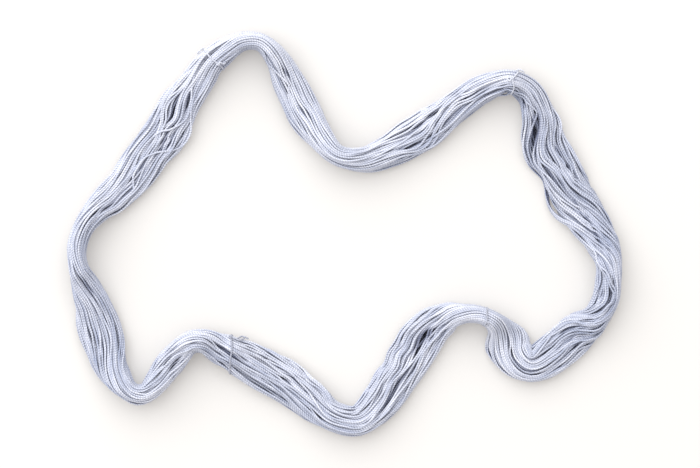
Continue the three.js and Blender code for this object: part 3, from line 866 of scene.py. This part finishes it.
def fibres(yarn, count):
    own = settled[owners == yarn]
    line = to_space(own)
    flat = line.reshape(-1, 3)
    ahead = unit(np.roll(flat, -1, 0) - np.roll(flat, 1, 0)).reshape(line.shape)
    across = own[..., 0] / (width / 2)
    up = (own[..., 1] - mid_up) / (height / 2)
    skin = unit(np.stack([across / width, up / height], -1))
    facing = skin[..., :1] * np.pad(inward, ((0, 0), (0, 1))) + skin[..., 1:] * np.array([0.0, 0.0, 1.0])
    pick = rng.choice(np.flatnonzero(up > LOWEST_ROOT), count)
    base, ahead, facing = (field.reshape(-1, 3)[pick] for field in (line, ahead, facing))

    angle = rng.normal(0, FIBRE_LEAN, (count, 1))
    stand = np.cos(angle) * facing + np.sin(angle) * np.cross(ahead, facing)
    slant = rng.normal(0, FIBRE_SLANT, (count, 1))
    lead = rng.choice((-1, 1), (count, 1)) * np.cos(slant) * ahead + np.sin(slant) * np.cross(ahead, stand)
    stand = unit(stand - (stand * lead).sum(1, keepdims=True) * lead)
    side = np.cross(stand, lead)
    length = rng.uniform(*FIBRE_LENGTHS, (count, 1))
    rise = length * rng.uniform(*FIBRE_RISES, (count, 1))
    start = base + FIBRE_ROOT * RADIUS * stand + rng.uniform(-1, 1, (count, 1)) * STATION_STEP / 2 * ahead
    halfway = start + length / 2 * lead + FIBRE_BEND * rise * stand
    path = np.stack([start, halfway, start + length * lead + rise * stand], 1)

    turn = 2 * np.pi * np.arange(FIBRE_SIDES) / FIBRE_SIDES
    radius = FIBRE_RADIUS * np.array(FIBRE_TAPER)[:, None, None]
    rim = np.cos(turn)[:, None] * side[:, None, None] + np.sin(turn)[:, None] * stand[:, None, None]
    vertices = path[:, :, None] + radius * rim
    vertices[..., 2] = vertices[..., 2].clip(FIBRE_RADIUS)
    ring = FIBRE_SIDES * np.arange(len(FIBRE_TAPER) - 1)[:, None]
    k = np.arange(FIBRE_SIDES)[None]
    after = (k + 1) % FIBRE_SIDES
    spike = np.stack([ring + k, ring + after, ring + FIBRE_SIDES + after, ring + FIBRE_SIDES + k], 2)
    spike = spike.reshape(-1, 4)
    quads = spike[None] + FIBRE_SIDES * len(FIBRE_TAPER) * np.arange(count)[:, None, None]
    way = np.repeat(pick * STATION_STEP, spike.size)
    return vertices.reshape(-1, 3), quads.reshape(-1, 4), np.stack([way, np.zeros(len(way))], 1)


for yarn in range(RINGS[0]["yarns"]):
    piece = make_piece(f"halo_of_yarn_{yarn + 1}", fibres(yarn, FIBRES), HALO_SHADES, wool)
    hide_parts("hank")

# %% [markdown]
# ## The ties
# A tie is a taut turn over the outermost strands, a knot and the free ends. Every place on it is given by
# how far it lies along the hank from the tie's row, its angle round the hank (0 at the inner edge, 90 on
# top, 180 at the outer edge), and how far it stands off the strands.

# %% Ties
TIE_YARN = 1.35  # its diameter, less than the hank's because it is pulled taut
TIE_SIDES = 8
TIE_BITE = 0.35  # how far a tie sinks into the strands
TURN_STEP = 6.0  # degrees between two places of a turn
TURN_OFF = 0.2
TURN_SMOOTHINGS = 4
TURN_CURVE_STEPS = 3
KNOT_WRAPS = 2
KNOT_POINTS = 12  # to a wrap
KNOT_REACH = 4  # degrees to either side of the knot
KNOT_OFF = 0.3
# Sizes of a wrap as shares of the tie's diameter: to the next one, its radius, and its yarn's radius
KNOT_STEP = 0.8
KNOT_WIND = 0.62
KNOT_YARN = 0.42
END_CURVE_STEPS = 8
END_TIP = 0.05  # share of its radius that a cut end thins out to
END_TAPER = 1.2  # length that it thins out over
TURN_COLUMNS = ("angle", "along")
END_COLUMNS = ("along", "angle", "off")
TIES = (
    {
        "name": "upper_left",
        "paler": 0.05,
        "turn": ((180, -3.3), (90, -2.3), (67, -3.7), (35, -4.6), (0, -4.5), (-90, -4.0)),
        "knot": 67,
        "ends": (
            ((-3.3, 172, 0.1), (-2.9, 168, 0.6), (-2.1, 163, 1.7), (0.2, 162, 1.7), (2.7, 166, 0.6)),
            ((-3.7, 65, 0.4), (-5.8, 58, 0.9), (-8.1, 51, 0.8), (-10.2, 46, 0.3)),
        ),
    },
    {
        "name": "lower_left",
        "paler": -0.2,
        "turn": ((180, 7.0), (135, 4.6), (90, 0.0), (45, -4.6), (0, -6.3), (-90, -0.5)),
        "knot": 16,
        "ends": (
            ((-6.0, 15, 0.2), (-1.5, 18, 0.5), (1.6, 18, 1.7), (4.0, 18, 2.2), (7.5, 18, 1.2)),
            ((-6.0, 20, 0.3), (-2.0, 25, 0.8), (1.5, 24, 1.3), (4.5, 22, 1.4)),
        ),
    },
    {
        "name": "lower_right",
        "paler": -0.1,
        "turn": ((180, 0.0), (130, 0.3), (93, -0.6), (76, -2.2), (47, -2.8), (0, -3.0), (-90, -1.5)),
        "knot": 130,
        "ends": (
            ((0.3, 134, 0.4), (-0.8, 146, 0.8), (-1.8, 156, 0.7)),
            ((0.2, 124, 0.4), (1.6, 118, 0.8), (3.0, 116, 0.4)),
        ),
    },
    {
        "name": "upper_right",
        "paler": 0.1,
        "turn": ((180, -0.9), (147, -0.9), (120, 0.1), (99, 1.6), (76, -1.3), (57, -3.9), (35, -4.0),
                 (-90, -2.5)),
        "knot": 98,
        "ends": (
            ((-0.9, 168, 0.1), (0.5, 164, 0.9), (-1.5, 162, 1.8), (-3.5, 162, 1.6), (-5.3, 166, 0.4)),
            ((1.8, 97, 0.4), (3.0, 90, 0.9), (5.8, 88, 0.3)),
        ),
    },
)


def beside_strands(at, angle, off):
    s = at % LENGTH / LENGTH * STATIONS
    low = int(s) % STATIONS
    part = s - int(s)
    strands = settled[:, low] * (1 - part) + settled[:, (low + 1) % STATIONS] * part
    way_out = np.array([np.cos(np.radians(angle)), np.sin(np.radians(angle))])
    held = strands[np.argmax(strands @ way_out)]
    across, up = held + (RADIUS + TIE_YARN / 2 - TIE_BITE + off) * way_out
    centre = middle[low] * (1 - part) + middle[(low + 1) % STATIONS] * part
    return np.array([*(centre + across * inward[low]), max(up, TIE_YARN / 2)])


def tie_turn(at, along):
    angles = np.arange(-180, 180, TURN_STEP)
    turn = np.array([beside_strands(at + along(angle), angle, TURN_OFF) for angle in angles])
    for _ in range(TURN_SMOOTHINGS):
        turn = (np.roll(turn, 1, 0) + 2 * turn + np.roll(turn, -1, 0)) / 4
    turn[:, 2] = turn[:, 2].clip(TIE_YARN / 2)
    return tube(smooth_line(turn, TURN_CURVE_STEPS, closed=True), TIE_YARN / 2, TIE_SIDES, closed=True)


def tie_knot(at, along, knot):
    angles = (knot - KNOT_REACH, knot, knot + KNOT_REACH)
    before, centre, after = (beside_strands(at + along(angle), angle, KNOT_OFF) for angle in angles)
    lead = unit(after - before)
    side = unit(np.cross(lead, [0.0, 0.0, 1.0]))
    top = np.cross(side, lead)
    wind = np.linspace(0, KNOT_WRAPS * 2 * np.pi, KNOT_POINTS * KNOT_WRAPS)[:, None]
    shift = (wind / wind.max() - 0.5) * KNOT_WRAPS * TIE_YARN * KNOT_STEP
    wrap = centre + shift * lead + TIE_YARN * KNOT_WIND * (np.cos(wind) * side + np.sin(wind) * top)
    return tube(wrap, TIE_YARN * KNOT_YARN, TIE_SIDES, closed=False)


def tie_end(at, rows):
    points = [dict(zip(END_COLUMNS, row)) for row in rows]
    places = [beside_strands(at + point["along"], point["angle"], point["off"]) for point in points]
    line = smooth_line(places, END_CURVE_STEPS)
    left = np.linalg.norm(line - line[-1], axis=1)
    radius = TIE_YARN / 2 * (END_TIP + (1 - END_TIP) * smoothstep(left, 0, END_TAPER))
    return tube(line, radius, TIE_SIDES, closed=False)


def tie_body(tie):
    at = distance_to(TIE_ROWS[tie["name"]])
    turn = dict(zip(TURN_COLUMNS, np.array(tie["turn"], float).T))

    def along(angle):
        return np.interp(angle, turn["angle"], turn["along"], period=360)

    ends = [tie_end(at, rows) for rows in tie["ends"]]
    return joined([tie_turn(at, along), tie_knot(at, along, tie["knot"]), *ends])


for tie in TIES:
    piece = make_piece("tie_yarn_" + tie["name"], tie_body(tie), (0.0, 0.0, tie["paler"]), tie_wool)
    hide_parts("tie_" + tie["name"])

# %% [markdown]
# ## The surface below
# The skein lies on something plain and white. Matt card stands for it: pressed paper with no coat, which
# shows soft shadows and no reflections. A plane that reaches past the view is enough, since no edge of it
# can be seen. It glows a little, because an even world light alone leaves the shadows deeper than a white
# room does.

# %% Floor
FLOOR_SIZE = 6.0  # m
FLOOR_GLOW = 0.22  # stands for the light that a bright room throws back into the shadows
CARD_SURFACE = {
    "Base Color": linear("#b0b0b0"),
    "Roughness": 0.9,
    "Emission Color": linear("#fff8f1"),
    "Emission Strength": FLOOR_GLOW,
}
bpy.ops.mesh.primitive_plane_add(size=FLOOR_SIZE, location=(0, 0, 0))
floor = bpy.context.object
floor.name = "floor"
white_card = bpy.data.materials.new("white_card")
white_card.use_nodes = True
for socket, value in CARD_SURFACE.items():
    white_card.node_tree.nodes["Principled BSDF"].inputs[socket].default_value = value
floor.data.materials.append(white_card)
print("the floor is", FLOOR_SIZE, "m wide")

# %% [markdown]
# ## Light and camera
# The light is large and soft and comes from above and the upper left, so the shadows have no edges and lie
# to the right of the ribbon and below it. A sun lamp would draw hard edges. An area light as large as a
# window doesn't, and an even white world fills in the rest. The camera looks straight down from far up, so
# that the ribbon's height hardly changes its outline.

# %% Light
WORLD_COLOUR = "#fffbf7"
WORLD_STRENGTH = 1.05
WINDOW_SIZE = (6.0, 5.0)  # m
WINDOW_WATTS = 215
WINDOW_PLACE = (-1.1, 1.6, 2.3)  # m from the skein's middle, which it faces

world = bpy.data.worlds.new("studio")
bpy.context.scene.world = world
world.use_nodes = True
background = world.node_tree.nodes["Background"]
background.inputs["Color"].default_value = linear(WORLD_COLOUR)
background.inputs["Strength"].default_value = WORLD_STRENGTH

window = bpy.data.objects.new("soft_window", bpy.data.lights.new("soft_window", "AREA"))
bpy.context.scene.collection.objects.link(window)
window.data.shape = "RECTANGLE"
window.data.size, window.data.size_y = WINDOW_SIZE
window.data.energy = WINDOW_WATTS
window.location = WINDOW_PLACE
window.rotation_euler = window.location.to_track_quat("Z", "Y").to_euler()
print("window", WINDOW_SIZE, "m,", WINDOW_WATTS, "W")

# %% Camera
PHOTO_SCALE = 0.832  # mm a pixel at the height of the ribbon
PHOTO_SIZE = (700, 468)  # pixels
ORIGIN_PIXEL = (345.5, 232)  # where the frame's origin is in the photo
SENSOR_WIDTH = 36
CAMERA_HEIGHT = 2.6  # m
RIBBON_HEIGHT = 0.012  # m, where the photo's scale holds
camera = bpy.data.objects.new("camera", bpy.data.cameras.new("camera"))
bpy.context.scene.collection.objects.link(camera)
camera.data.sensor_width = SENSOR_WIDTH
camera.data.lens = SENSOR_WIDTH * (CAMERA_HEIGHT - RIBBON_HEIGHT) / (PHOTO_SIZE[0] * PHOTO_SCALE * MM)
camera.location = (
    (PHOTO_SIZE[0] / 2 - ORIGIN_PIXEL[0]) * PHOTO_SCALE * MM,
    (ORIGIN_PIXEL[1] - PHOTO_SIZE[1] / 2) * PHOTO_SCALE * MM,
    CAMERA_HEIGHT,
)
bpy.context.scene.camera = camera
bpy.context.scene.view_settings.view_transform = "Standard"
print("lens", round(camera.data.lens, 1), "mm")
